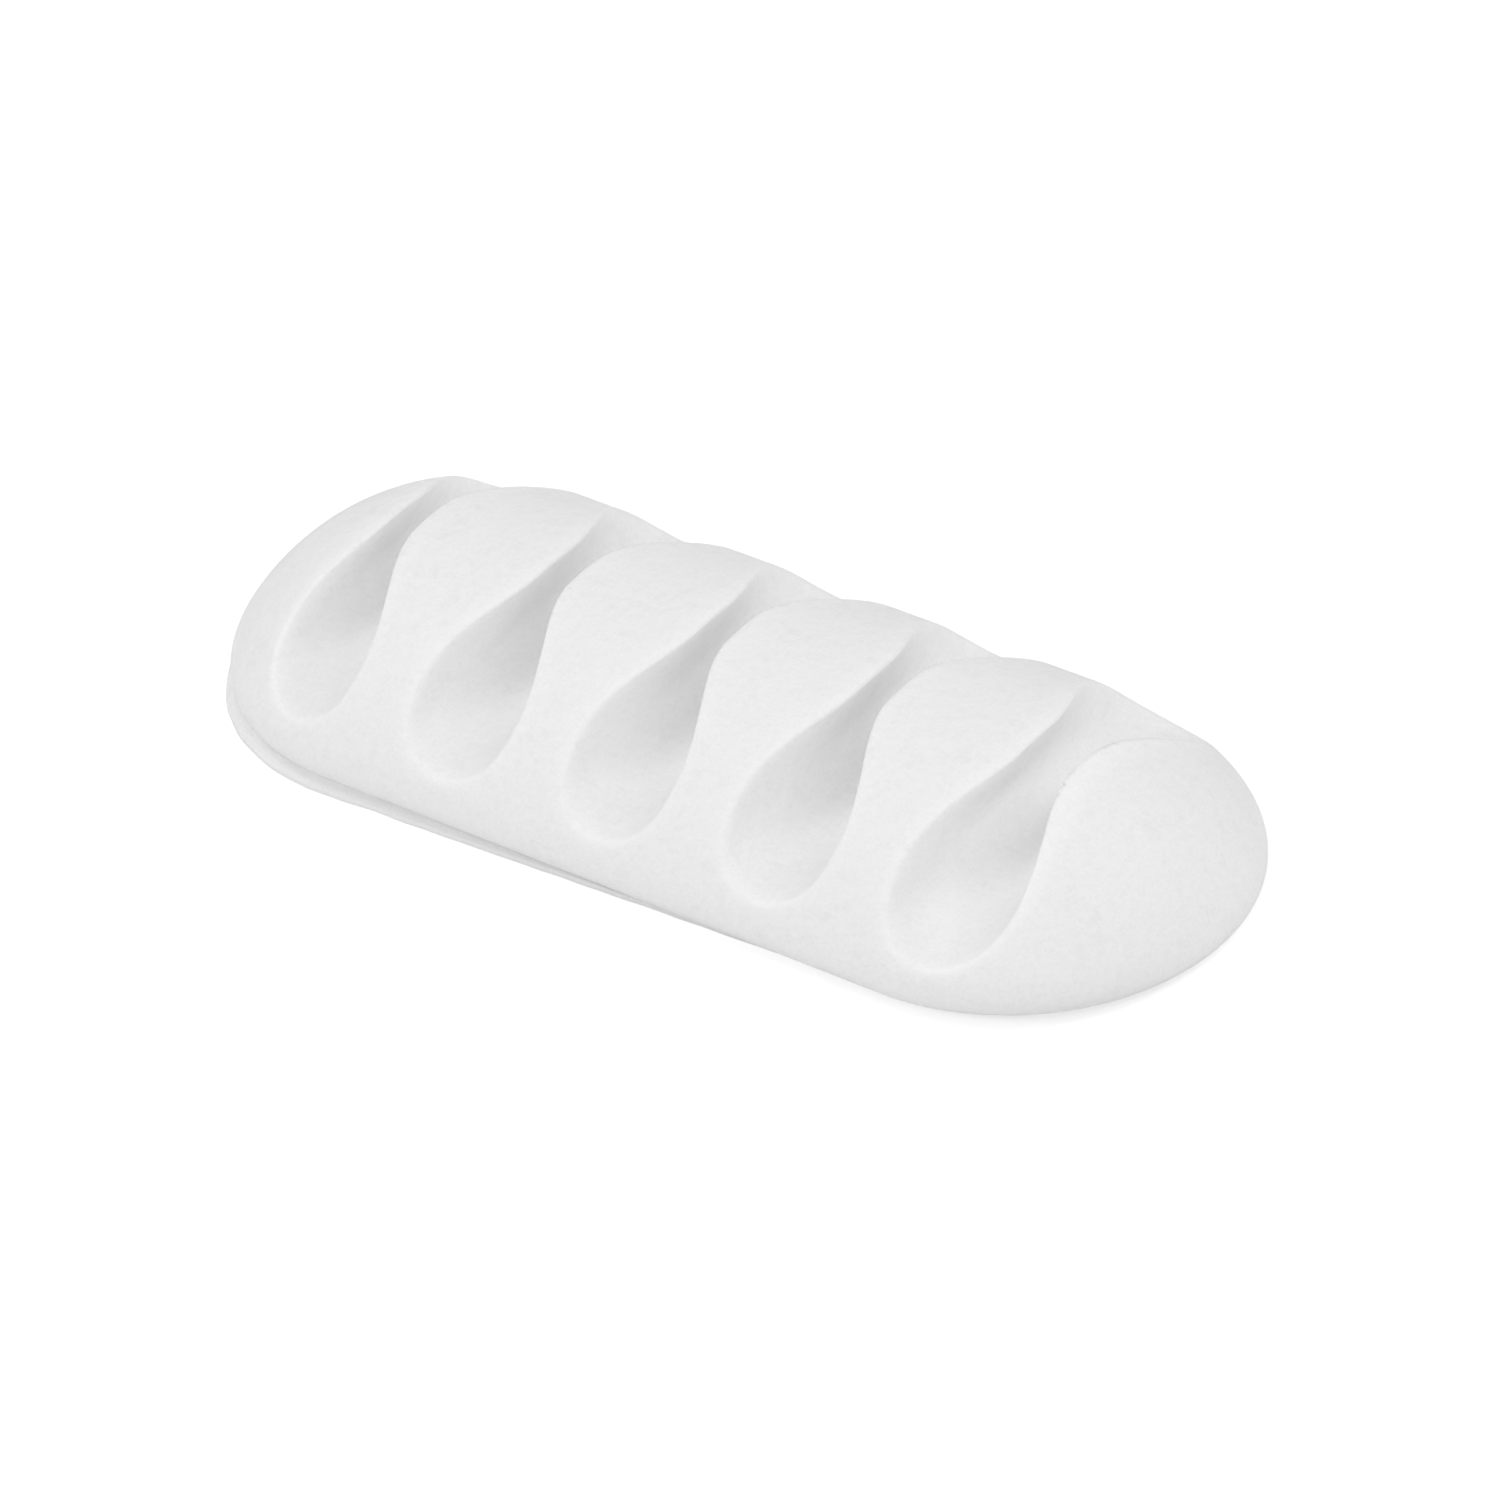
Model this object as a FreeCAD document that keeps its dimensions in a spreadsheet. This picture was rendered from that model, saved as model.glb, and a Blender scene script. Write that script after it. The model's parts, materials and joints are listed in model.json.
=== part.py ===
import FreeCAD, Part
import math
import os
import Sketcher
from FreeCAD import Vector

# Adhesive cable clip: a soft moulded loaf with five cable channels across it,
# stuck down by a foam pad under its flat underside.
# X runs along the loaf, Y across it, Z up. The origin is at the middle of the pad's underside.

# Driving dimensions in millimetres, apart from the count and the angle.
SIZES = [
    ("body_width", 38.0, "moulded body, side to side"),
    ("body_height", 13.4, "moulded body, underside to crown"),
    ("flank_radius", 6.5, "arc of the section where it meets the underside"),
    ("foot_round", 0.8, "rounding of the underside's edge"),
    ("slot_pitch", 15.0, "from one cable channel to the next"),
    ("slot_count", 4, "channels for thin cables, besides the wide one"),
    ("end_length", 15.3, "from the middle of an outer channel's place in the row to the body's end"),
    ("neck_length", 4.0, "straight stretch of a channel under the crown"),
    ("neck_gap", 2.5, "between the lips of a thin channel at the crown"),
    ("channel_radius", 3.0, "bore of a thin channel under its neck"),
    ("wide_neck_gap", 3.4, "between the lips of the wide channel"),
    ("wide_channel_radius", 3.4, "bore of the wide channel"),
    ("wide_offset", 0.45, "wide channel's axis, past its place in the row"),
    ("channel_depth", 8.4, "crown to the floor of the channels"),
    ("mouth_web", 0.6, "skin left between two mouths at the body's side"),
    ("mouth_overrun", 6.0, "how far a mouth's walls stand apart at crown height, past the pitch"),
    ("lip_round", 0.8, "rounding of the lips and mouth rims"),
    ("pad_thickness", 1.1, "foam pad"),
    ("pad_inset", 1.2, "pad's edge inside the body's edge"),
    ("pad_shift", 1.15, "pad's middle, towards the first channel"),
    ("pad_skew", 2.5, "degrees that the pad is turned from the body"),
]
# Cross-sections that shape each flare, from the neck to the body's side.
FLARE_SECTIONS = 4
# How far a cutting section rises above the crown.
CUT_MARGIN = 1.5
# A point this near the loaf's skin lies on it.
ON_SKIN = 0.002

doc = FreeCAD.newDocument("cable_clip")
sheet = doc.addObject("Spreadsheet::Sheet", "Sizes")
for row, (alias, number, meaning) in enumerate(SIZES, start=1):
    sheet.set("A%d" % row, alias)
    sheet.set("B%d" % row, str(number))
    sheet.set("C%d" % row, meaning)
    sheet.setAlias("B%d" % row, alias)
doc.recompute()


def cell(alias):
    """Expression that reads one size."""
    return "<<Sizes>>." + alias


def value(expression):
    """Number that an expression gives with the present sizes."""
    result = sheet.evalExpression(expression)
    return float(getattr(result, "Value", result))


HALF_ROW = cell("slot_pitch") + " * " + cell("slot_count") + " / 2"
HALF_LENGTH = "(" + HALF_ROW + " + " + cell("end_length") + ")"
HALF_WIDTH = cell("body_width") + " / 2"
HEIGHT = cell("body_height")
FLOOR = "(" + HEIGHT + " - " + cell("channel_depth") + ")"
FLANK = cell("flank_radius")
FOOT = cell("foot_round")
# A mouth's floor and walls at the body's side.
MOUTH_RADIUS = "(" + cell("slot_pitch") + " - " + cell("mouth_web") + ") / 2"
MOUTH_GAP = "(" + cell("slot_pitch") + " + " + cell("mouth_overrun") + ")"
DOME_CENTRE = "(" + HALF_LENGTH + " - " + HALF_WIDTH + ")"
# The crown arc touches both flank arcs and peaks at the body's height.
CROWN = "(({b} - {r})^2 + {z}^2 - {r}^2) / (2 * ({z} - {r}))".format(b=HALF_WIDTH, r=FLANK, z=HEIGHT)


def new_body(name):
    """A sub-part, with its name as its label."""
    body = doc.addObject("PartDesign::Body", name)
    body.Label = name
    return body


def origin_plane(body, role):
    """One of the body's own origin planes or axes."""
    return next(item for item in body.Origin.OriginFeatures if item.Role == role)


def new_sketch(body, name, role):
    """A sketch on one of the body's origin planes."""
    sketch = body.newObject("Sketcher::SketchObject", name)
    sketch.AttachmentSupport = [(origin_plane(body, role), "")]
    sketch.MapMode = "FlatFace"
    return sketch


def drive(sketch, name, expression, *constraint):
    """Adds a dimension to the sketch and binds it to an expression of the sizes."""
    index = sketch.addConstraint(Sketcher.Constraint(*constraint, value(expression)))
    sketch.renameConstraint(index, name)
    sketch.setExpression("Constraints." + name, expression)


def arc(centre_x, centre_y, radius, start_deg, end_deg):
    """Arc of a circle in a sketch's plane."""
    circle = Part.Circle(Vector(centre_x, centre_y, 0), Vector(0, 0, 1), radius)
    return Part.ArcOfCircle(circle, math.radians(start_deg), math.radians(end_deg))


def line(x1, y1, x2, y2):
    """Straight line in a sketch's plane."""
    return Part.LineSegment(Vector(x1, y1, 0), Vector(x2, y2, 0))


def tie(sketch, kind, *where):
    """Adds a geometric constraint."""
    sketch.addConstraint(Sketcher.Constraint(kind, *where))


# Ends of sketch geometry, and the sketch's own horizontal axis, whose start is its origin.
START, END, CENTRE = range(1, 4)
X_AXIS = -1


def foot_reach():
    """From a flank arc's centre to the centre of the foot's small arc, along the base."""
    return math.sqrt((value(FLANK) - value(FOOT)) ** 2 - value(FOOT) ** 2)


def arch_section(sketch):
    """Closed arch on a flat base with small rounded feet, the loaf's section."""
    half = value(HALF_WIDTH)
    flank = value(FLANK)
    foot = value(FOOT)
    height = value(HEIGHT)
    crown = value(CROWN)
    lean = math.degrees(math.atan2(crown - height, half - flank))
    toe = math.degrees(math.atan2(foot, foot_reach()))
    foot_x = half - flank + foot_reach()
    base = sketch.addGeometry(line(-foot_x, 0, foot_x, 0))
    right_foot = sketch.addGeometry(arc(foot_x, foot, foot, -90, toe))
    right = sketch.addGeometry(arc(half - flank, 0, flank, toe, lean))
    top = sketch.addGeometry(arc(0, height - crown, crown, lean, 180 - lean))
    left = sketch.addGeometry(arc(flank - half, 0, flank, 180 - lean, 180 - toe))
    left_foot = sketch.addGeometry(arc(-foot_x, foot, foot, 180 - toe, 270))
    loop = [base, right_foot, right, top, left, left_foot]
    for piece, after in zip(loop, loop[1:] + loop[:1]):
        tie(sketch, "Tangent", piece, END, after, START)
    tie(sketch, "Symmetric", base, START, base, END, X_AXIS, START)
    tie(sketch, "Horizontal", base)
    tie(sketch, "PointOnObject", right, CENTRE, X_AXIS)
    tie(sketch, "PointOnObject", left, CENTRE, X_AXIS)
    tie(sketch, "Equal", right, left)
    tie(sketch, "Equal", right_foot, left_foot)
    drive(sketch, "waist", cell("body_width") + " - 2 * " + FLANK, "DistanceX", left, CENTRE, right, CENTRE)
    drive(sketch, "flank", FLANK, "Radius", right)
    drive(sketch, "foot", FOOT, "Radius", right_foot)
    drive(sketch, "crown", CROWN, "Radius", top)


def dome_section(sketch):
    """Half of the arch beside an upright line, for turning into a domed end."""
    middle = value(DOME_CENTRE)
    half = value(HALF_WIDTH)
    flank = value(FLANK)
    foot = value(FOOT)
    height = value(HEIGHT)
    crown = value(CROWN)
    lean = math.degrees(math.atan2(crown - height, half - flank))
    toe = math.degrees(math.atan2(foot, foot_reach()))
    foot_x = middle + half - flank + foot_reach()
    upright = sketch.addGeometry(line(middle, height, middle, 0))
    base = sketch.addGeometry(line(middle, 0, foot_x, 0))
    foot_arc = sketch.addGeometry(arc(foot_x, foot, foot, -90, toe))
    side = sketch.addGeometry(arc(middle + half - flank, 0, flank, toe, lean))
    top = sketch.addGeometry(arc(middle, height - crown, crown, lean, 90))
    axis = sketch.addGeometry(line(middle, 0, middle, height), True)
    tie(sketch, "Vertical", upright)
    tie(sketch, "PointOnObject", base, START, X_AXIS)
    tie(sketch, "Horizontal", base)
    tie(sketch, "Coincident", upright, END, base, START)
    tie(sketch, "Tangent", base, END, foot_arc, START)
    tie(sketch, "Tangent", foot_arc, END, side, START)
    tie(sketch, "Tangent", side, END, top, START)
    tie(sketch, "Coincident", top, END, upright, START)
    tie(sketch, "PointOnObject", side, CENTRE, X_AXIS)
    tie(sketch, "PointOnObject", top, CENTRE, upright)
    tie(sketch, "Coincident", axis, START, base, START)
    tie(sketch, "Coincident", axis, END, upright, START)
    drive(sketch, "middle", DOME_CENTRE, "DistanceX", X_AXIS, START, base, START)
    drive(sketch, "waist", HALF_WIDTH + " - " + FLANK, "DistanceX", base, START, side, CENTRE)
    drive(sketch, "flank", FLANK, "Radius", side)
    drive(sketch, "foot", FOOT, "Radius", foot_arc)
    drive(sketch, "crown", CROWN, "Radius", top)


def channel_section(sketch, axis_x, radius, half_gap):
    """Round floor with two straight walls tangent to it that rise past the crown."""
    centre = value(axis_x)
    bore = value(radius)
    floor = value(FLOOR)
    crown = value(HEIGHT)
    gap = value(half_gap)
    top = crown + CUT_MARGIN
    level = floor + bore
    bearing = math.atan2(crown - level, gap)
    lean = bearing - math.acos(bore / math.hypot(gap, crown - level))
    touch_x = bore * math.cos(lean)
    touch_y = bore * math.sin(lean)
    top_x = (bore - (top - level) * math.sin(lean)) / math.cos(lean)
    tilt = math.degrees(lean)
    floor_arc = sketch.addGeometry(arc(centre, level, bore, 180 - tilt, 360 + tilt))
    right = sketch.addGeometry(line(centre + touch_x, level + touch_y, centre + top_x, top))
    lid = sketch.addGeometry(line(centre + top_x, top, centre - top_x, top))
    left = sketch.addGeometry(line(centre - top_x, top, centre - touch_x, level + touch_y))
    right_lip = sketch.addGeometry(Part.Point(Vector(centre + gap, crown, 0)), True)
    left_lip = sketch.addGeometry(Part.Point(Vector(centre - gap, crown, 0)), True)
    tie(sketch, "Tangent", floor_arc, END, right, START)
    tie(sketch, "Coincident", right, END, lid, START)
    tie(sketch, "Coincident", lid, END, left, START)
    tie(sketch, "Tangent", left, END, floor_arc, START)
    tie(sketch, "Horizontal", lid)
    tie(sketch, "PointOnObject", right_lip, START, right)
    tie(sketch, "PointOnObject", left_lip, START, left)
    drive(sketch, "axis_x", axis_x, "DistanceX", X_AXIS, START, floor_arc, CENTRE)
    drive(sketch, "axis_level", FLOOR + " + " + radius, "DistanceY", X_AXIS, START, floor_arc, CENTRE)
    drive(sketch, "bore", radius, "Radius", floor_arc)
    drive(sketch, "lid_level", HEIGHT + " + " + str(CUT_MARGIN), "DistanceY", X_AXIS, START, lid, START)
    drive(sketch, "right_gap", half_gap, "DistanceX", floor_arc, CENTRE, right_lip, START)
    drive(sketch, "left_gap", half_gap, "DistanceX", left_lip, START, floor_arc, CENTRE)
    drive(sketch, "right_crown", HEIGHT, "DistanceY", X_AXIS, START, right_lip, START)
    drive(sketch, "left_crown", HEIGHT, "DistanceY", X_AXIS, START, left_lip, START)


def cut_channel(body, name, axis_x, bore, gap):
    """Cuts one channel: a straight neck, and a flare to each side. Returns the three cuts."""
    half_neck = cell("neck_length") + " / 2"
    profile = new_sketch(body, name + "_neck_profile", "XZ_Plane")
    channel_section(profile, axis_x, bore, gap + " / 2")
    neck = body.newObject("PartDesign::Pocket", name + "_neck")
    neck.Profile = profile
    neck.SideType = "Symmetric"
    neck.setExpression("Length", cell("neck_length"))
    cuts = [neck]
    for side, sign in (("near", ""), ("far", "-")):
        sections = []
        for step in range(FLARE_SECTIONS + 1):
            share = step / FLARE_SECTIONS
            radius = "({r} + ({m} - {r}) * {t}^2)".format(r=bore, m=MOUTH_RADIUS, t=share)
            half_gap = "({g} + ({m} - {g}) * {t}^2 * (2 - {t})) / 2".format(g=gap, m=MOUTH_GAP, t=share)
            place = "{s}({n} + ({b} - {n}) * {t})".format(s=sign, n=half_neck, b=HALF_WIDTH, t=share)
            section = new_sketch(body, "%s_%s_section_%d" % (name, side, step), "XZ_Plane")
            section.setExpression("AttachmentOffset.Base.z", place)
            channel_section(section, axis_x, radius, half_gap)
            sections.append(section)
        flare = body.newObject("PartDesign::SubtractiveLoft", "%s_%s_flare" % (name, side))
        flare.Profile = sections[0]
        flare.Sections = sections[1:]
        cuts.append(flare)
    return cuts


def lip_edges(shape, loaf):
    """Names of the edges where a channel breaks through the loaf's skin."""
    skin = Part.makeCompound([face for face in loaf.Faces if not isinstance(face.Surface, Part.Plane)])
    seams = Part.makeCompound(loaf.Edges)
    names = []
    for number, edge in enumerate(shape.Edges, start=1):
        first, last = edge.ParameterRange
        points = [edge.valueAt(first + (last - first) * share) for share in (0.2, 0.5, 0.8)]
        on_skin = all(Part.Vertex(point).distToShape(skin)[0] < ON_SKIN for point in points)
        on_seam = all(Part.Vertex(point).distToShape(seams)[0] < ON_SKIN for point in points)
        if on_skin and not on_seam:
            names.append("Edge%d" % number)
    return names


def make_clip_body():
    """The moulded loaf with its channels."""
    body = new_body("clip_body")
    arch = new_sketch(body, "arch_profile", "YZ_Plane")
    arch_section(arch)
    straight = body.newObject("PartDesign::Pad", "straight_loaf")
    straight.Profile = arch
    straight.SideType = "Symmetric"
    straight.setExpression("Length", "2 * " + DOME_CENTRE)
    doc.recompute()
    profile = new_sketch(body, "dome_profile", "XZ_Plane")
    dome_section(profile)
    dome = body.newObject("PartDesign::Revolution", "near_dome")
    dome.Profile = profile
    dome.ReferenceAxis = (profile, ["Axis0"])
    dome.Angle = 180
    dome.Midplane = True
    far_dome = body.newObject("PartDesign::Mirrored", "far_dome")
    far_dome.Originals = [dome]
    far_dome.MirrorPlane = (origin_plane(body, "YZ_Plane"), [""])
    body.Tip = far_dome
    doc.recompute()
    loaf = far_dome.Shape.copy()

    first_x = "-" + HALF_ROW
    thin = cut_channel(body, "thin_channel", first_x, cell("channel_radius"), cell("neck_gap"))
    doc.recompute()
    row = body.newObject("PartDesign::LinearPattern", "thin_channels")
    row.Originals = thin
    row.Direction = (origin_plane(body, "X_Axis"), [""])
    row.setExpression("Length", cell("slot_pitch") + " * (" + cell("slot_count") + " - 1)")
    row.setExpression("Occurrences", cell("slot_count"))
    body.Tip = row
    doc.recompute()
    wide_x = HALF_ROW + " + " + cell("wide_offset")
    wide = cut_channel(body, "wide_channel", wide_x, cell("wide_channel_radius"), cell("wide_neck_gap"))
    doc.recompute()
    slotted = wide[-1].Shape
    lips = body.newObject("PartDesign::Fillet", "lip_rounds")
    lips.Base = (wide[-1], lip_edges(slotted, loaf))
    lips.setExpression("Radius", cell("lip_round"))
    body.Tip = lips
    body.setExpression("Placement.Base.z", cell("pad_thickness"))
    doc.recompute()
    return body


def pad_outline(sketch):
    """Stadium, set in from the body's outline."""
    middle = value(DOME_CENTRE)
    inset_radius = HALF_WIDTH + " - " + cell("pad_inset")
    radius = value(inset_radius)
    lower = sketch.addGeometry(line(-middle, -radius, middle, -radius))
    near = sketch.addGeometry(arc(middle, 0, radius, -90, 90))
    upper = sketch.addGeometry(line(middle, radius, -middle, radius))
    far = sketch.addGeometry(arc(-middle, 0, radius, 90, 270))
    tie(sketch, "Tangent", lower, END, near, START)
    tie(sketch, "Tangent", near, END, upper, START)
    tie(sketch, "Tangent", upper, END, far, START)
    tie(sketch, "Tangent", far, END, lower, START)
    tie(sketch, "Horizontal", lower)
    tie(sketch, "Equal", near, far)
    tie(sketch, "Symmetric", near, CENTRE, far, CENTRE, X_AXIS, START)
    drive(sketch, "middle", DOME_CENTRE, "DistanceX", X_AXIS, START, near, CENTRE)
    drive(sketch, "radius", inset_radius, "Radius", near)


def make_adhesive_pad():
    """The foam pad between the body and what it is stuck to."""
    body = new_body("adhesive_pad")
    outline = new_sketch(body, "pad_outline", "XY_Plane")
    pad_outline(outline)
    foam = body.newObject("PartDesign::Pad", "pad_foam")
    foam.Profile = outline
    foam.setExpression("Length", cell("pad_thickness"))
    body.Placement = FreeCAD.Placement(Vector(0, 0, 0), FreeCAD.Rotation(Vector(0, 0, 1), 1))
    body.setExpression("Placement.Rotation.Angle", cell("pad_skew"))
    body.setExpression("Placement.Base.x", "-" + cell("pad_shift"))
    doc.recompute()
    return body


def check(parts):
    """Stops if a feature failed or a sub-part isn't one valid solid."""
    for item in doc.Objects:
        if "Invalid" in item.State or "Error" in item.State:
            raise RuntimeError("%s failed: %s" % (item.Name, item.State))
    for part in parts:
        if part.Shape.isNull() or not part.Shape.isValid():
            raise RuntimeError("%s has no valid shape" % part.Label)


parts = [make_clip_body(), make_adhesive_pad()]
doc.recompute()
check(parts)
os.makedirs("parts", exist_ok=True)
for part in parts:
    part.Shape.exportStep("parts/%s.step" % part.Label)
    print(part.Label, round(part.Shape.Volume, 1), part.Shape.BoundBox)
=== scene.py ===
"""Looks, light and camera of a soft adhesive cable clip with five channels.

The moulded body is one closed form that follows a rule: an arched loaf with a row of
hourglass channels, worked out in Geometry Nodes. Its overall size, bores and channel places
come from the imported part, and the other sizes are the fields of ClipBody, fitted to the photo.
Lengths are millimetres unless a comment says metres; the scene itself is in metres.
"""

import json
import logging
import math
from dataclasses import dataclass, field
from enum import Enum
from typing import Iterator, Union

import bmesh
import bpy
from mathutils import Matrix, Vector, noise


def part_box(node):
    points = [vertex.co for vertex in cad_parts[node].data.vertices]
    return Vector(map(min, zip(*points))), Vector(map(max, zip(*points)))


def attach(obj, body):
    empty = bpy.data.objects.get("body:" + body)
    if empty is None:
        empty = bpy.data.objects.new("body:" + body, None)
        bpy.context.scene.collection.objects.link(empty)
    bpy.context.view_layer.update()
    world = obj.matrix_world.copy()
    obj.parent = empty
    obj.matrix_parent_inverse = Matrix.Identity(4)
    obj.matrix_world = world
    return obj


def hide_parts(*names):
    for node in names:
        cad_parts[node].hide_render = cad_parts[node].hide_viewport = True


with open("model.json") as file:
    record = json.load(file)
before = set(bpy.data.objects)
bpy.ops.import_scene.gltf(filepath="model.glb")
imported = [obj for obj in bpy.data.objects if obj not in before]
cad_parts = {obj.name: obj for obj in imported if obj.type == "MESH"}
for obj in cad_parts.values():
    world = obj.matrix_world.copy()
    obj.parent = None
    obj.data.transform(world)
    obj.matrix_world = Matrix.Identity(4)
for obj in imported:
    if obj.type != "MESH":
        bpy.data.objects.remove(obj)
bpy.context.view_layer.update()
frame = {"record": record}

LOG = logging.getLogger("cable_clip")
METRES = 0.001
PHOTO_PIXELS = 1500
# Blend of a smooth maximum for each unit of the radius that it gives a square corner.
BLEND_OF_ROUND = 6.0 * (1.0 - math.sqrt(0.5))
# Level of the skin's noise that leaves it in place. The noise hardly ever falls below it.
OUTERMOST = 0.2
# A face has folded where its normal times its point's normal is less than this.
FOLDED = 0.3


class Finish(Enum):
    """The record's material slots."""

    SILICONE = "silicone"
    FOAM = "pad_foam"


class Wire:
    """One socket of a node tree. Python's operators on it add Math nodes to the tree."""

    def __init__(self, tree: "Tree", socket: bpy.types.NodeSocket) -> None:
        """Wraps a socket of a tree."""
        self.tree = tree
        self.socket = socket

    def __add__(self, other: "Term") -> "Wire":
        """Sum."""
        return self.tree.maths("ADD", self, other)

    def __radd__(self, other: "Term") -> "Wire":
        """Sum, number first."""
        return self.tree.maths("ADD", other, self)

    def __sub__(self, other: "Term") -> "Wire":
        """Difference."""
        return self.tree.maths("SUBTRACT", self, other)

    def __rsub__(self, other: "Term") -> "Wire":
        """Difference, number first."""
        return self.tree.maths("SUBTRACT", other, self)

    def __mul__(self, other: "Term") -> "Wire":
        """Product."""
        return self.tree.maths("MULTIPLY", self, other)

    def __rmul__(self, other: "Term") -> "Wire":
        """Product, number first."""
        return self.tree.maths("MULTIPLY", other, self)

    def __truediv__(self, other: "Term") -> "Wire":
        """Quotient."""
        return self.tree.maths("DIVIDE", self, other)

    def __neg__(self) -> "Wire":
        """Negative."""
        return self.tree.maths("MULTIPLY", self, -1.0)

    def __abs__(self) -> "Wire":
        """Absolute value."""
        return self.tree.maths("ABSOLUTE", self)

    def __gt__(self, other: "Term") -> "Wire":
        """1 where this is more, otherwise 0."""
        return self.tree.maths("GREATER_THAN", self, other)

    def __lt__(self, other: "Term") -> "Wire":
        """1 where this is less, otherwise 0."""
        return self.tree.maths("LESS_THAN", self, other)


Term = Union[Wire, float, int]


class Tree:
    """A node tree that is written as expressions."""

    def __init__(self, node_tree: bpy.types.NodeTree) -> None:
        """Wraps a node tree and empties it."""
        self.node_tree = node_tree
        node_tree.nodes.clear()

    def node(self, kind: str, settings: dict | None = None, **values: object) -> bpy.types.Node:
        """Adds one node.

        Args:
            kind: The node's type name.
            settings: Attributes of the node, set before its sockets.
            **values: Values or wires of input sockets. A socket is named by its
                identifier in lower case with underscores, or by in0, in1 and so on.

        Returns:
            The new node.
        """
        made = self.node_tree.nodes.new(kind)
        for name, setting in (settings or {}).items():
            setattr(made, name, setting)
        for name, given in values.items():
            socket = self._socket(made, name)
            if isinstance(given, Wire):
                self.node_tree.links.new(given.socket, socket)
            else:
                socket.default_value = given
        return made

    @staticmethod
    def _socket(made: bpy.types.Node, name: str) -> bpy.types.NodeSocket:
        """The input socket that a keyword names."""
        if name.startswith("in") and name[2:].isdigit():
            return made.inputs[int(name[2:])]
        wanted = name.replace("_", " ").lower()
        return next(s for s in made.inputs if s.enabled and s.name.lower() == wanted)

    def wire(self, made: bpy.types.Node, output: str | int = 0) -> Wire:
        """One output of a node, by its name or place."""
        return Wire(self, made.outputs[output])

    def maths(self, operation: str, *terms: Term) -> Wire:
        """A Math node on up to three values."""
        inputs = {"in%d" % place: term for place, term in enumerate(terms)}
        return self.wire(self.node("ShaderNodeMath", {"operation": operation}, **inputs))

    def hypot(self, a: Wire, b: Wire) -> Wire:
        """Length of a vector with two parts."""
        return self.maths("SQRT", a * a + b * b)

    def choose(self, mask: Wire, yes: Term, no: Term) -> Wire:
        """One value where the mask is 1 and another where it is 0."""
        return mask * yes + (1.0 - mask) * no

    def clamp(self, term: Wire, low: Term, high: Term) -> Wire:
        """A value held between two others."""
        return self.maths("MINIMUM", self.maths("MAXIMUM", term, low), high)


def grey(level: float) -> tuple[float, float, float, float]:
    """A neutral colour."""
    return (level, level, level, 1.0)


def add_object(name: str, data: bpy.types.ID) -> bpy.types.Object:
    """A new object in the scene that shows a mesh, a lamp or a camera."""
    made = bpy.data.objects.new(name, data)
    bpy.context.scene.collection.objects.link(made)
    return made


def direction(azimuth: float, elevation: float) -> Vector:
    """Direction from the object to a place around it.

    Args:
        azimuth: Degrees to the right of the view along +Y.
        elevation: Degrees over the horizon.

    Returns:
        A vector of length 1.
    """
    turn, rise = math.radians(azimuth), math.radians(elevation)
    level = math.cos(rise)
    return Vector((math.sin(turn) * level, -math.cos(turn) * level, math.sin(rise)))


class Neck(Enum):
    """The two widths of neck. Each value starts the names of its own sizes."""

    THIN = "Thin"
    WIDE = "Wide"


@dataclass(frozen=True)
class Channel:
    """One cable channel across the body.

    Attributes:
        axis_x: Place of its axis along the body.
        bore: Radius under the neck.
        neck: Width of its neck.
    """

    axis_x: float
    bore: float
    neck: Neck


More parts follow.
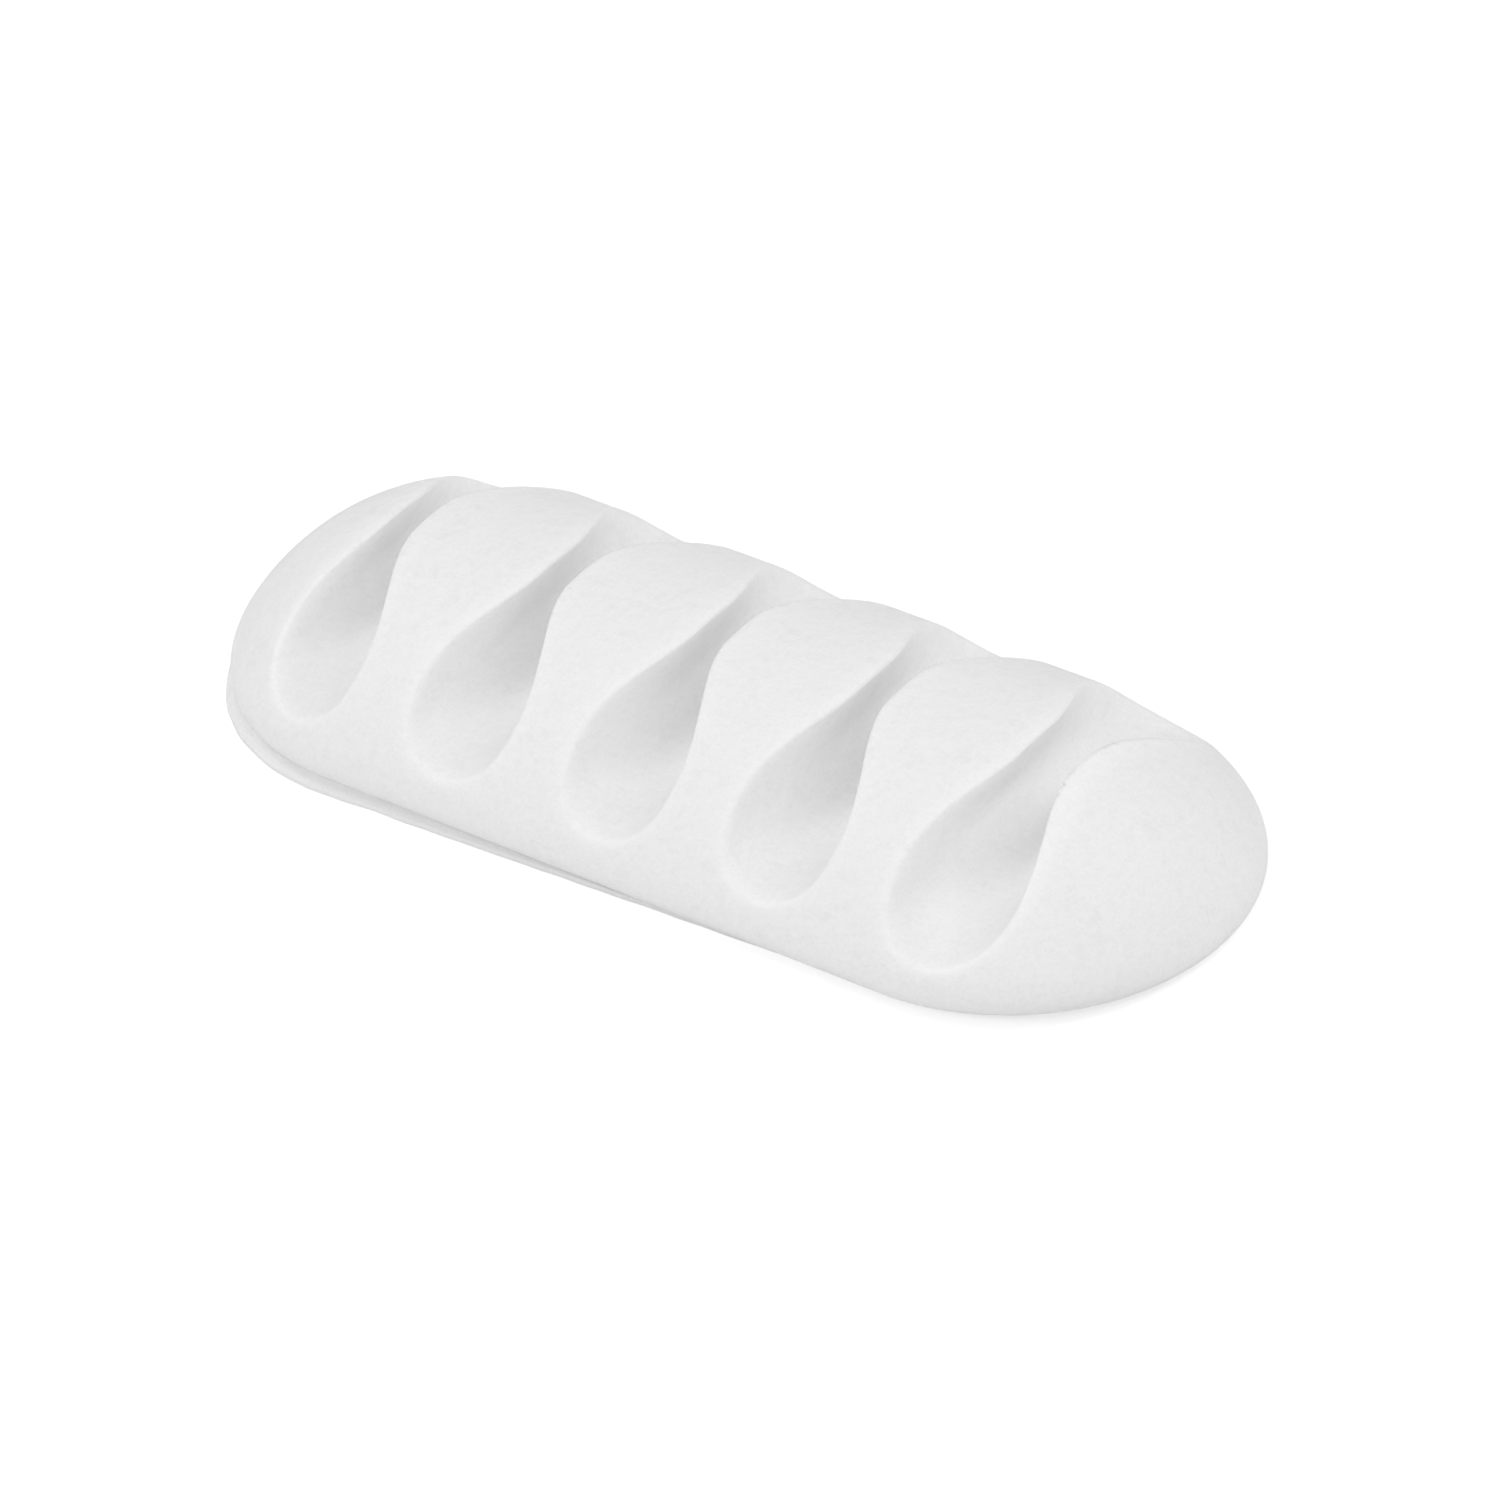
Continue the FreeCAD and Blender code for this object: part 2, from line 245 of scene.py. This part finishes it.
@dataclass
class ClipBody:
    """The moulded silicone body. It stands for the solid, with crisper lips and lower mouths.

    Attributes:
        node: The solid that it stands for.
        flank_radius: Arc of the section above the underside.
        foot_round: Rounding of the underside's edge.
        thin_gap: Between the lips of a thin channel at the crown.
        wide_gap: The same for the wide channel.
        wide_swell: How much larger and deeper the wide channel's mouths are.
        channel_depth: Crown to the floor of a neck.
        mouth_radius: Round of a floor at the body's side.
        mouth_gap: Between a mouth's walls at crown height, at the body's side.
        mouth_dip: How much lower a floor lies at the body's side than under the neck.
        mouth_drift: How far a mouth's middle lies beside the neck's axis, towards the left.
        row_shift: How far the whole row lies to the left of the record's mounts.
        neck_round: Rounding of the lips at the neck.
        left_round: Rounding of a mouth's left rim at the body's side.
        right_round: The same for its right rim.
        cell: Edge of one cell of the grid that the form is sampled on.
        kept_share: Share of the grid's triangles that is kept, the flattest going first.
        margin_cells: Cells between the form and the grid's edge.
        evening_steps: Times that the grid's steps are smoothed.
        settling_steps: Times that the points are then moved onto the form.
        unevenness: How far the moulded skin wanders inward.
        patch: Size of one patch of that wandering.
    """

    node: str = "clip_body"
    flank_radius: float = 6.5
    foot_round: float = 1.4
    thin_gap: float = 2.5
    wide_gap: float = 3.4
    wide_swell: float = 0.45
    channel_depth: float = 8.2
    mouth_radius: float = 6.4
    mouth_gap: float = 21.0
    mouth_dip: float = 1.3
    mouth_drift: float = 0.4
    row_shift: float = 0.1
    neck_round: float = 0.12
    left_round: float = 0.7
    right_round: float = 0.12
    cell: float = 0.2
    kept_share: float = 0.25
    margin_cells: float = 3.0
    evening_steps: int = 2
    settling_steps: int = 2
    unevenness: float = 0.03
    patch: float = 7.0
    low: Vector = field(init=False)
    high: Vector = field(init=False)
    channels: list[Channel] = field(init=False)
    neck_length: float = field(init=False)

    def __post_init__(self) -> None:
        """Reads the body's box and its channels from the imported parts."""
        low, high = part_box(self.node)
        self.low = low / METRES
        self.high = high / METRES
        clamps = [m for m in frame["record"]["mounts"] if m["kind"] == "clamp"]
        self.neck_length = clamps[0]["dims"]["length_mm"]
        self.channels = [self._channel(mount) for mount in clamps]

    def _channel(self, mount: dict) -> Channel:
        """The channel that a clamp mount of the record describes."""
        neck = Neck.WIDE if mount["name"].startswith("wide") else Neck.THIN
        axis_x = mount["pos_m"][0] / METRES - self.row_shift
        return Channel(axis_x, mount["dims"]["r_mm"], neck)

    def build(self) -> bpy.types.Object:
        """Makes the body and returns it as a plain mesh object."""
        tree = bpy.data.node_groups.new("clip_body_form", "GeometryNodeTree")
        inputs = self._name_inputs(tree)
        self._grow(Tree(tree))
        carrier = add_object("clip_body_carrier", bpy.data.meshes.new("clip_body_carrier"))
        modifier = carrier.modifiers.new("form", "NODES")
        modifier.node_group = tree
        for identifier, number in inputs.items():
            modifier[identifier] = number
        carrier.modifiers.new("thinning", "DECIMATE").ratio = self.kept_share
        body = plain_mesh(carrier, "silicone_body")
        carrier.modifiers.clear()
        bpy.data.objects.remove(carrier)
        return body

    def _name_inputs(self, tree: bpy.types.NodeTree) -> dict[str, float]:
        """Adds the form's named sizes to the tree.

        Args:
            tree: The geometry tree.

        Returns:
            The number for each socket, by the socket's identifier.
        """
        size = self.high - self.low
        sizes = {
            "Length": size.x,
            "Width": size.y,
            "Height": size.z,
            "Flank radius": self.flank_radius,
            "Foot round": self.foot_round,
            "Neck length": self.neck_length,
            "Thin gap": self.thin_gap,
            "Thin swell": 0.0,
            "Wide gap": self.wide_gap,
            "Wide swell": self.wide_swell,
            "Channel depth": self.channel_depth,
            "Mouth radius": self.mouth_radius,
            "Mouth gap": self.mouth_gap,
            "Mouth dip": self.mouth_dip,
            "Mouth drift": self.mouth_drift,
            "Neck round": self.neck_round,
            "Left round": self.left_round,
            "Right round": self.right_round,
            "Unevenness": self.unevenness,
            "Patch": self.patch,
        }
        numbers = {}
        for name, number in sizes.items():
            socket = tree.interface.new_socket(name, in_out="INPUT", socket_type="NodeSocketFloat")
            numbers[socket.identifier] = float(number)
        tree.interface.new_socket("Geometry", in_out="OUTPUT", socket_type="NodeSocketGeometry")
        return numbers

    def _grow(self, tree: Tree) -> None:
        """Writes the form: a grid of depths under the skin, turned into a mesh."""
        given = tree.node("NodeGroupInput")
        names = [socket.name for socket in given.outputs if socket.name]
        size = {name: tree.wire(given, name) for name in names}
        place = tree.wire(tree.node("GeometryNodeInputPosition"))
        parts = tree.node("ShaderNodeSeparateXYZ", vector=place)
        x, y, z = (tree.wire(parts, axis) for axis in "XYZ")
        depth = self._loaf(tree, size, x, y, z)
        for channel in self.channels:
            depth = self._cut(tree, size, channel, depth, x, y, z)
        skin = tree.node("ShaderNodeTexNoise", {"noise_dimensions": "3D"}, vector=place,
                         scale=1.0 / self.patch, detail=2.0)
        wander = (tree.wire(skin, 0) - OUTERMOST) * size["Unevenness"]
        margin = self.margin_cells * self.cell
        extent = self.high - self.low
        cells = [math.ceil((length + 2.0 * margin) / self.cell) for length in extent]
        grid = tree.node("GeometryNodeVolumeCube", density=-(depth + wander), background=-1.0,
                         min=(-extent.x / 2 - margin, -extent.y / 2 - margin, -margin),
                         max=(extent.x / 2 + margin, extent.y / 2 + margin, extent.z + margin),
                         resolution_x=cells[0], resolution_y=cells[1], resolution_z=cells[2])
        skin_mesh = tree.node("GeometryNodeVolumeToMesh", volume=tree.wire(grid), threshold=0.0)
        evened = tree.node("GeometryNodeBlurAttribute", {"data_type": "FLOAT_VECTOR"},
                           value=place, iterations=self.evening_steps)
        settled = tree.node("GeometryNodeSetPosition", geometry=tree.wire(skin_mesh),
                            position=tree.wire(evened))
        outward = tree.wire(tree.node("GeometryNodeInputNormal"))
        home = tree.wire(tree.node("ShaderNodeVectorMath", {"operation": "SCALE"},
                                   in0=outward, scale=-(depth + wander)))
        for _ in range(self.settling_steps):
            settled = tree.node("GeometryNodeSetPosition", geometry=tree.wire(settled),
                                offset=home)
        real_size = tree.node("GeometryNodeTransform", geometry=tree.wire(settled),
                              translation=(0.0, 0.0, self.low.z * METRES),
                              scale=(METRES, METRES, METRES))
        shaded = tree.node("GeometryNodeSetShadeSmooth", geometry=tree.wire(real_size))
        realized = tree.node("GeometryNodeRealizeInstances", geometry=tree.wire(shaded))
        dressed = tree.node("GeometryNodeSetMaterial", geometry=tree.wire(realized),
                            material=Silicone().material())
        tree.node("NodeGroupOutput", in0=tree.wire(dressed))

    def _loaf(self, tree: Tree, size: dict[str, Wire], x: Wire, y: Wire, z: Wire) -> Wire:
        """Distance outside the loaf: an arch run along a straight spine and turned at its ends.

        Args:
            tree: The geometry tree.
            size: The named sizes.
            x: Place along the body.
            y: Place across it.
            z: Height over its underside.

        Returns:
            Distance to the skin, negative inside.
        """
        half_width = size["Width"] / 2.0
        spine = (size["Length"] - size["Width"]) / 2.0
        aside = tree.hypot(tree.maths("MAXIMUM", abs(x) - spine, 0.0), y)
        flank = size["Flank radius"]
        height = size["Height"]
        waist = half_width - flank
        crown = (waist * waist + height * height - flank * flank) / (2.0 * (height - flank))
        drop = crown - height
        on_flank = (aside * drop - (z + drop) * waist) > 0.0
        to_flank = tree.hypot(aside - waist, z) - flank
        to_crown = tree.hypot(aside, z + drop) - crown
        arch = tree.choose(on_flank, to_flank, to_crown)
        return tree.maths("SMOOTH_MAX", arch, -z, size["Foot round"] * BLEND_OF_ROUND)

    def _cut(self, tree: Tree, size: dict[str, Wire], channel: Channel, depth: Wire,
             x: Wire, y: Wire, z: Wire) -> Wire:
        """Takes one channel out of the loaf.

        Args:
            tree: The geometry tree.
            size: The named sizes.
            channel: The channel.
            depth: Distance outside what is left so far.
            x: Place along the body.
            y: Place across it.
            z: Height over its underside.

        Returns:
            Distance outside what is left after the cut.
        """
        half_neck = size["Neck length"] / 2.0
        run = size["Width"] / 2.0 - half_neck
        share = tree.maths("MAXIMUM", (abs(y) - half_neck) / run, 0.0)
        opening = share * share
        gap = size["%s gap" % channel.neck.value]
        swell = size["%s swell" % channel.neck.value]
        mouth_radius = size["Mouth radius"] + swell
        floor_round = channel.bore + (mouth_radius - channel.bore) * opening
        half_gap = (gap + (size["Mouth gap"] - gap) * opening * (2.0 - share)) / 2.0
        dip = (size["Mouth dip"] + swell) * opening * (3.0 - 2.0 * share)
        level = size["Height"] - size["Channel depth"] - dip + floor_round
        rise = size["Height"] - level
        lean = (tree.maths("ARCTAN2", rise, half_gap)
                - tree.maths("ARCCOSINE", floor_round / tree.hypot(half_gap, rise)))
        across = tree.maths("COSINE", lean)
        upward = tree.maths("SINE", lean)
        along = x - channel.axis_x + size["Mouth drift"] * opening
        aside = abs(along)
        above = z - level
        on_wall = (above * across - aside * upward) > 0.0
        wall = aside * across + above * upward
        hollow = tree.choose(on_wall, wall, tree.hypot(aside, above)) - floor_round
        to_right = tree.clamp(along / (2.0 * floor_round) + 0.5, 0.0, 1.0)
        rim_round = size["Left round"] + (size["Right round"] - size["Left round"]) * to_right
        softness = size["Neck round"] + (rim_round - size["Neck round"]) * opening
        return tree.maths("SMOOTH_MAX", depth, -hollow, softness * BLEND_OF_ROUND)


def plain_mesh(source: bpy.types.Object, name: str) -> bpy.types.Object:
    """A plain mesh object of what another object's modifiers make.

    Args:
        source: The object with live modifiers.
        name: Name of the new object.

    Returns:
        The new object, at the origin.
    """
    depsgraph = bpy.context.evaluated_depsgraph_get()
    mesh = bpy.data.meshes.new_from_object(source.evaluated_get(depsgraph), depsgraph=depsgraph)
    mesh.name = name
    made = add_object(name, mesh)
    work = bmesh.new()
    work.from_mesh(mesh)
    bmesh.ops.recalc_face_normals(work, faces=work.faces)
    unfold(work)
    work.to_mesh(mesh)
    work.free()
    return made


def unfold(work: bmesh.types.BMesh, rounds: int = 30) -> None:
    """Eases the few points whose faces have folded over each other along a sharp lip.

    Args:
        work: The mesh, with its normals outward.
        rounds: Most times that folded points are eased.
    """
    for _ in range(rounds):
        folded = [v for v in work.verts
                  if any(f.normal.dot(v.normal) < FOLDED for f in v.link_faces)]
        if not folded:
            return
        bmesh.ops.smooth_vert(work, verts=folded, factor=0.5, use_axis_x=True, use_axis_y=True,
                              use_axis_z=True)
        work.normal_update()


@dataclass(frozen=True)
class Silicone:
    """Matt white moulded silicone with a fine cast grain, faint clouds and a few dust specks.

    Attributes:
        colour: Its grey.
        roughness: Roughness of the skin.
        specular: Strength of its gloss.
        glow_depth: How far light spreads inside it, in metres.
        mottle: How far the grain lightens or darkens the skin.
        mottle_size: Widest patch of that grain, in metres.
        cloud: How far the roughness wanders.
        cloud_scale: Patches of that wandering in a metre.
        tooth_size: Width of the skin's finest bumps, in metres.
        tooth_shade: How far they lighten or darken the skin.
        relief: Their height, in metres.
        speck_spacing: Distance between places where a speck may lie, in metres.
        speck_share: Share of those places that have one.
        speck_radius: Radius of a speck, in metres.
        speck_shade: How much darker a speck is.
    """

    colour: float = 0.935
    roughness: float = 0.55
    specular: float = 0.3
    glow_depth: float = 0.0008
    mottle: float = 0.36
    mottle_size: float = 0.0025
    cloud: float = 0.15
    cloud_scale: float = 90.0
    tooth_size: float = 0.00028
    tooth_shade: float = 0.07
    relief: float = 0.000028
    speck_spacing: float = 0.0075
    speck_share: float = 0.3
    speck_radius: float = 0.00025
    speck_shade: float = 0.07

    def material(self) -> bpy.types.Material:
        """Makes the material."""
        made = bpy.data.materials.new("white_silicone")
        made.use_nodes = True
        tree = Tree(made.node_tree)
        place = tree.wire(tree.node("ShaderNodeTexCoord"), "Object")
        grain = tree.wire(tree.node("ShaderNodeTexNoise", vector=place,
                                    scale=1.0 / self.mottle_size, detail=6.0, roughness=0.95))
        cloud = tree.wire(tree.node("ShaderNodeTexNoise", vector=place, scale=self.cloud_scale,
                                    detail=2.0))
        tooth = tree.wire(tree.node("ShaderNodeTexNoise", vector=place,
                                    scale=1.0 / self.tooth_size, detail=1.0))
        shade = (self.colour + (grain - 0.5) * self.mottle + (tooth - 0.5) * self.tooth_shade
                 - self._specks(tree, place) * self.speck_shade)
        colour = tree.node("ShaderNodeCombineColor", in0=shade, in1=shade, in2=shade)
        rough = self.roughness + (cloud - 0.5) * self.cloud
        bump = tree.node("ShaderNodeBump", distance=self.relief, height=tooth)
        shader = tree.node("ShaderNodeBsdfPrincipled", base_color=tree.wire(colour),
                           roughness=rough, normal=tree.wire(bump))
        shader.inputs["Specular IOR Level"].default_value = self.specular
        shader.inputs["Subsurface Weight"].default_value = 1.0
        shader.inputs["Subsurface Radius"].default_value = (1.0, 1.0, 1.0)
        shader.inputs["Subsurface Scale"].default_value = self.glow_depth
        tree.node("ShaderNodeOutputMaterial", surface=tree.wire(shader))
        return made

    def _specks(self, tree: Tree, place: Wire) -> Wire:
        """1 on a speck of dust, 0 elsewhere, with a soft rim."""
        cells = tree.node("ShaderNodeTexVoronoi", {"feature": "F1"}, vector=place,
                          scale=1.0 / self.speck_spacing)
        distance = tree.wire(cells, "Distance") * self.speck_spacing
        parts = tree.node("ShaderNodeSeparateColor", in0=tree.wire(cells, "Color"))
        chosen = tree.wire(parts, 0) < self.speck_share
        size = self.speck_radius * (0.5 + tree.wire(parts, 1))
        return chosen * tree.clamp(2.0 - 2.0 * distance / size, 0.0, 1.0)


@dataclass(frozen=True)
class Foam:
    """White closed-cell foam of the adhesive pad.

    Attributes:
        colour: Its grey.
        roughness: Roughness of its cells.
        cell_scale: Cells in a metre.
        cell_shade: How far a cell lightens or darkens it.
        relief: Depth of a cell, in metres.
        relief_strength: Share of that depth which the light sees.
    """

    colour: float = 0.92
    roughness: float = 0.85
    cell_scale: float = 4500.0
    cell_shade: float = 0.06
    relief: float = 0.00005
    relief_strength: float = 0.6

    def material(self) -> bpy.types.Material:
        """Makes the material."""
        made = bpy.data.materials.new("white_foam")
        made.use_nodes = True
        tree = Tree(made.node_tree)
        place = tree.wire(tree.node("ShaderNodeTexCoord"), "Object")
        cells = tree.node("ShaderNodeTexVoronoi", {"feature": "F1"}, vector=place,
                          scale=self.cell_scale)
        shade = self.colour + (tree.wire(cells, 0) - 0.5) * self.cell_shade
        colour = tree.node("ShaderNodeCombineColor", in0=shade, in1=shade, in2=shade)
        bump = tree.node("ShaderNodeBump", distance=self.relief, strength=self.relief_strength,
                         height=tree.wire(cells, 0))
        shader = tree.node("ShaderNodeBsdfPrincipled", base_color=tree.wire(colour),
                           roughness=self.roughness, normal=tree.wire(bump))
        tree.node("ShaderNodeOutputMaterial", surface=tree.wire(shader))
        return made


@dataclass
class AdhesivePad:
    """The foam pad under the body, with a thin backing that stands proud at its foot.

    Attributes:
        node: The solid that it stands for.
        backing: Thickness of the backing.
        recess: How far the foam lies behind the backing's edge.
        edge_round: Rounding of the backing's edge.
        step: Distance between points along its outline.
        corner_steps: Points round one corner of the backing's edge.
        wander: How far the cut edge wanders.
        waves: Turns of that wandering in a millimetre.
    """

    node: str = "adhesive_pad"
    backing: float = 0.5
    recess: float = 0.8
    edge_round: float = 0.12
    step: float = 0.45
    corner_steps: int = 4
    wander: float = 0.12
    waves: float = 0.35

    def build(self, body: ClipBody) -> bpy.types.Object:
        """Makes the pad.

        Args:
            body: The body that it is bonded to.

        Returns:
            The pad as a plain mesh object.
        """
        low, high = (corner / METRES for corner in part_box(self.node))
        extent = high - low
        size = body.high - body.low
        spine = (size.x - size.y) / 2.0
        # A stadium turned by an angle is shorter by the spine's cosine and wider by its sine.
        skew = math.acos((extent.x - extent.y) / (2.0 * spine * math.sqrt(2.0))) - math.pi / 4.0
        radius = extent.y / 2.0 - spine * math.sin(skew)
        outline = self._outline(spine, radius)
        work = bmesh.new()
        rings = []
        for inward, height in self._edge(extent.z):
            rings.append([work.verts.new(self._place(point, outward, inward, height))
                          for point, outward in outline])
        for lower, upper in zip(rings, rings[1:]):
            for near, far in zip(range(len(lower)), list(range(1, len(lower))) + [0]):
                work.faces.new((lower[near], lower[far], upper[far], upper[near]))
        work.faces.new(list(reversed(rings[0])))
        work.faces.new(rings[-1])
        bmesh.ops.triangulate(work, faces=[f for f in work.faces if len(f.verts) > 4])
        bmesh.ops.recalc_face_normals(work, faces=work.faces)
        mesh = bpy.data.meshes.new("foam_pad")
        work.to_mesh(mesh)
        work.free()
        for face in mesh.polygons:
            face.use_smooth = True
        pad = add_object("foam_pad", mesh)
        middle = Vector(((low.x + high.x) / 2.0, (low.y + high.y) / 2.0, 0.0)) * METRES
        mesh.transform(Matrix.Translation(middle) @ Matrix.Rotation(skew, 4, "Z"))
        mesh.materials.append(Foam().material())
        return pad

    def _outline(self, spine: float, radius: float) -> list[tuple[Vector, Vector]]:
        """Points of the stadium with their outward directions."""
        straight = max(2, round(2.0 * spine / self.step))
        turn = max(8, round(math.pi * radius / self.step))
        points = []
        for side in (1.0, -1.0):
            for index in range(turn):
                angle = math.pi * index / turn - math.pi / 2.0
                outward = Vector((side * math.cos(angle), side * math.sin(angle), 0.0))
                points.append((Vector((side * spine, 0.0, 0.0)) + outward * radius, outward))
            for index in range(straight):
                along = spine - 2.0 * spine * index / straight
                outward = Vector((0.0, side, 0.0))
                points.append((Vector((side * along, side * radius, 0.0)), outward))
        return points

    def _edge(self, thickness: float) -> Iterator[tuple[float, float]]:
        """Profile of the edge, as pairs of inward shift and height."""
        corner = self.edge_round
        steps = self.corner_steps
        turns = [math.pi / 2.0 * index / steps for index in range(steps + 1)]
        for angle in turns:
            yield corner * (1.0 - math.sin(angle)), corner * (1.0 - math.cos(angle))
        for angle in reversed(turns):
            yield corner * (1.0 - math.sin(angle)), self.backing - corner * (1.0 - math.cos(angle))
        yield self.recess, self.backing
        yield self.recess, thickness

    def _place(self, point: Vector, outward: Vector, inward: float, height: float) -> Vector:
        """One point of the pad in metres, with the wander of its cut edge."""
        wander = self.wander * (noise.noise(point * self.waves) - 0.5)
        shifted = point - outward * (inward - min(0.0, wander))
        return Vector((shifted.x, shifted.y, height)) * METRES


@dataclass(frozen=True)
class PhotoCamera:
    """Camera at the photograph's view.

    Attributes:
        azimuth: Degrees to the right of the view along +Y.
        elevation: Degrees over the horizon.
        roll: Degrees that the picture is turned.
        distance: From the point looked at.
        pixels_per_mm: Scale at that point, in the photograph's pixels.
        target_px: Where that point lies in the photograph.
        target_height: Its height.
        clip_share: How many times nearer and farther than that point the view still reaches.
    """

    azimuth: float = 38.479
    elevation: float = 35.671
    roll: float = -4.498
    distance: float = 654.8
    pixels_per_mm: float = 13.024
    target_px: tuple[float, float] = (733.6, 692.5)
    target_height: float = 7.83
    clip_share: float = 100.0

    def place(self) -> None:
        """Adds the camera and makes it the scene's own."""
        data = bpy.data.cameras.new("photo_camera")
        camera = add_object("photo_camera", data)
        bpy.context.scene.camera = camera
        back = direction(self.azimuth, self.elevation)
        turn = math.radians(self.azimuth)
        level = Vector((math.cos(turn), math.sin(turn), 0.0))
        upright = back.cross(level)
        tilt = math.radians(self.roll)
        right = math.cos(tilt) * level + math.sin(tilt) * upright
        up = math.cos(tilt) * upright - math.sin(tilt) * level
        target = Vector((0.0, 0.0, self.target_height))
        turned = Matrix((right, up, back)).transposed().to_4x4()
        place = (target + back * self.distance) * METRES
        camera.matrix_world = Matrix.Translation(place) @ turned
        data.lens = self.pixels_per_mm * self.distance / PHOTO_PIXELS * data.sensor_width
        data.shift_x = (PHOTO_PIXELS / 2 - self.target_px[0]) / PHOTO_PIXELS
        data.shift_y = -(PHOTO_PIXELS / 2 - self.target_px[1]) / PHOTO_PIXELS
        data.clip_start = self.distance * METRES / self.clip_share
        data.clip_end = self.distance * METRES * self.clip_share


@dataclass(frozen=True)
class SoftBox:
    """A square studio lamp.

    Attributes:
        name: Its name.
        azimuth: Degrees to the right of the view along +Y.
        elevation: Degrees over the horizon.
        side: Edge of the lamp.
        power: Watts.
        distance: From the object.
    """

    name: str
    azimuth: float
    elevation: float
    side: float
    power: float
    distance: float = 800.0

    def place(self) -> None:
        """Adds the lamp, turned to the object."""
        data = bpy.data.lights.new(self.name, "AREA")
        data.shape = "SQUARE"
        data.size = self.side * METRES
        data.energy = self.power
        lamp = add_object(self.name, data)
        back = direction(self.azimuth, self.elevation)
        turned = back.to_track_quat("Z", "Y").to_matrix().to_4x4()
        lamp.matrix_world = Matrix.Translation(back * self.distance * METRES) @ turned


@dataclass(frozen=True)
class Studio:
    """Plain pale floor and soft light.

    Attributes:
        floor_side: Edge of the floor.
        floor_colour: Its grey.
        floor_lift: Glow of the floor that only the camera sees.
        sky: Strength of the even light from all round.
        lamps: The soft boxes.
    """

    floor_side: float = 6000.0
    floor_colour: float = 0.8
    floor_lift: float = 0.5
    sky: float = 0.385
    lamps: tuple[SoftBox, ...] = (
        SoftBox("front_right", azimuth=30.0, elevation=40.0, side=200.0, power=1.28),
        SoftBox("front_left", azimuth=-30.0, elevation=30.0, side=200.0, power=0.76),
        SoftBox("left", azimuth=-95.0, elevation=30.0, side=200.0, power=0.34),
        SoftBox("high_left", azimuth=-60.0, elevation=64.0, side=450.0, power=0.97),
        SoftBox("behind_right", azimuth=120.0, elevation=40.0, side=200.0, power=0.73),
        SoftBox("high_behind", azimuth=120.0, elevation=55.0, side=200.0, power=0.54),
        SoftBox("low_behind", azimuth=135.0, elevation=12.0, side=450.0, power=0.63),
    )

    def build(self) -> None:
        """Adds the floor, the world and the lamps."""
        self._floor()
        self._world()
        for lamp in self.lamps:
            lamp.place()

    def _floor(self) -> None:
        """A pale floor that keeps the object's shadow."""
        half = self.floor_side / 2.0 * METRES
        mesh = bpy.data.meshes.new("floor")
        corners = [(-half, -half, 0.0), (half, -half, 0.0), (half, half, 0.0), (-half, half, 0.0)]
        mesh.from_pydata(corners, [], [(0, 1, 2, 3)])
        floor = add_object("floor", mesh)
        made = bpy.data.materials.new("pale_floor")
        made.use_nodes = True
        tree = Tree(made.node_tree)
        seen = self._seen(tree)
        cover = tree.node("ShaderNodeBsdfDiffuse", color=grey(self.floor_colour))
        glow = tree.node("ShaderNodeEmission", color=grey(1.0), strength=seen * self.floor_lift)
        both = tree.node("ShaderNodeAddShader", in0=tree.wire(cover), in1=tree.wire(glow))
        tree.node("ShaderNodeOutputMaterial", surface=tree.wire(both))
        mesh.materials.append(made)

    @staticmethod
    def _seen(tree: Tree) -> Wire:
        """1 for what the camera sees, straight or in gloss or glass."""
        path = tree.node("ShaderNodeLightPath")
        kinds = ("Camera", "Glossy", "Transmission")
        rays = [tree.wire(path, "Is %s Ray" % kind) for kind in kinds]
        return tree.maths("MINIMUM", rays[0] + rays[1] + rays[2], 1.0)

    def _world(self) -> None:
        """Even light, and a white background for the camera."""
        world = bpy.data.worlds.new("studio")
        bpy.context.scene.world = world
        world.use_nodes = True
        tree = Tree(world.node_tree)
        seen = self._seen(tree)
        strength = tree.choose(seen, 1.0, self.sky)
        light = tree.node("ShaderNodeBackground", color=grey(1.0), strength=strength)
        tree.node("ShaderNodeOutputWorld", surface=tree.wire(light))


def main() -> None:
    """Builds the studio and both pieces."""
    logging.basicConfig(level=logging.INFO, format="%(name)s: %(message)s")
    bpy.context.scene.view_settings.view_transform = "Standard"
    PhotoCamera().place()
    Studio().build()
    clip = ClipBody()
    pad = AdhesivePad()
    for piece, node, finish in ((clip.build(), clip.node, Finish.SILICONE),
                                (pad.build(clip), pad.node, Finish.FOAM)):
        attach(piece, "root")
        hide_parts(node)
        LOG.info("%s: %d faces", piece.name, len(piece.data.polygons))


if __name__ == "__main__":
    main()
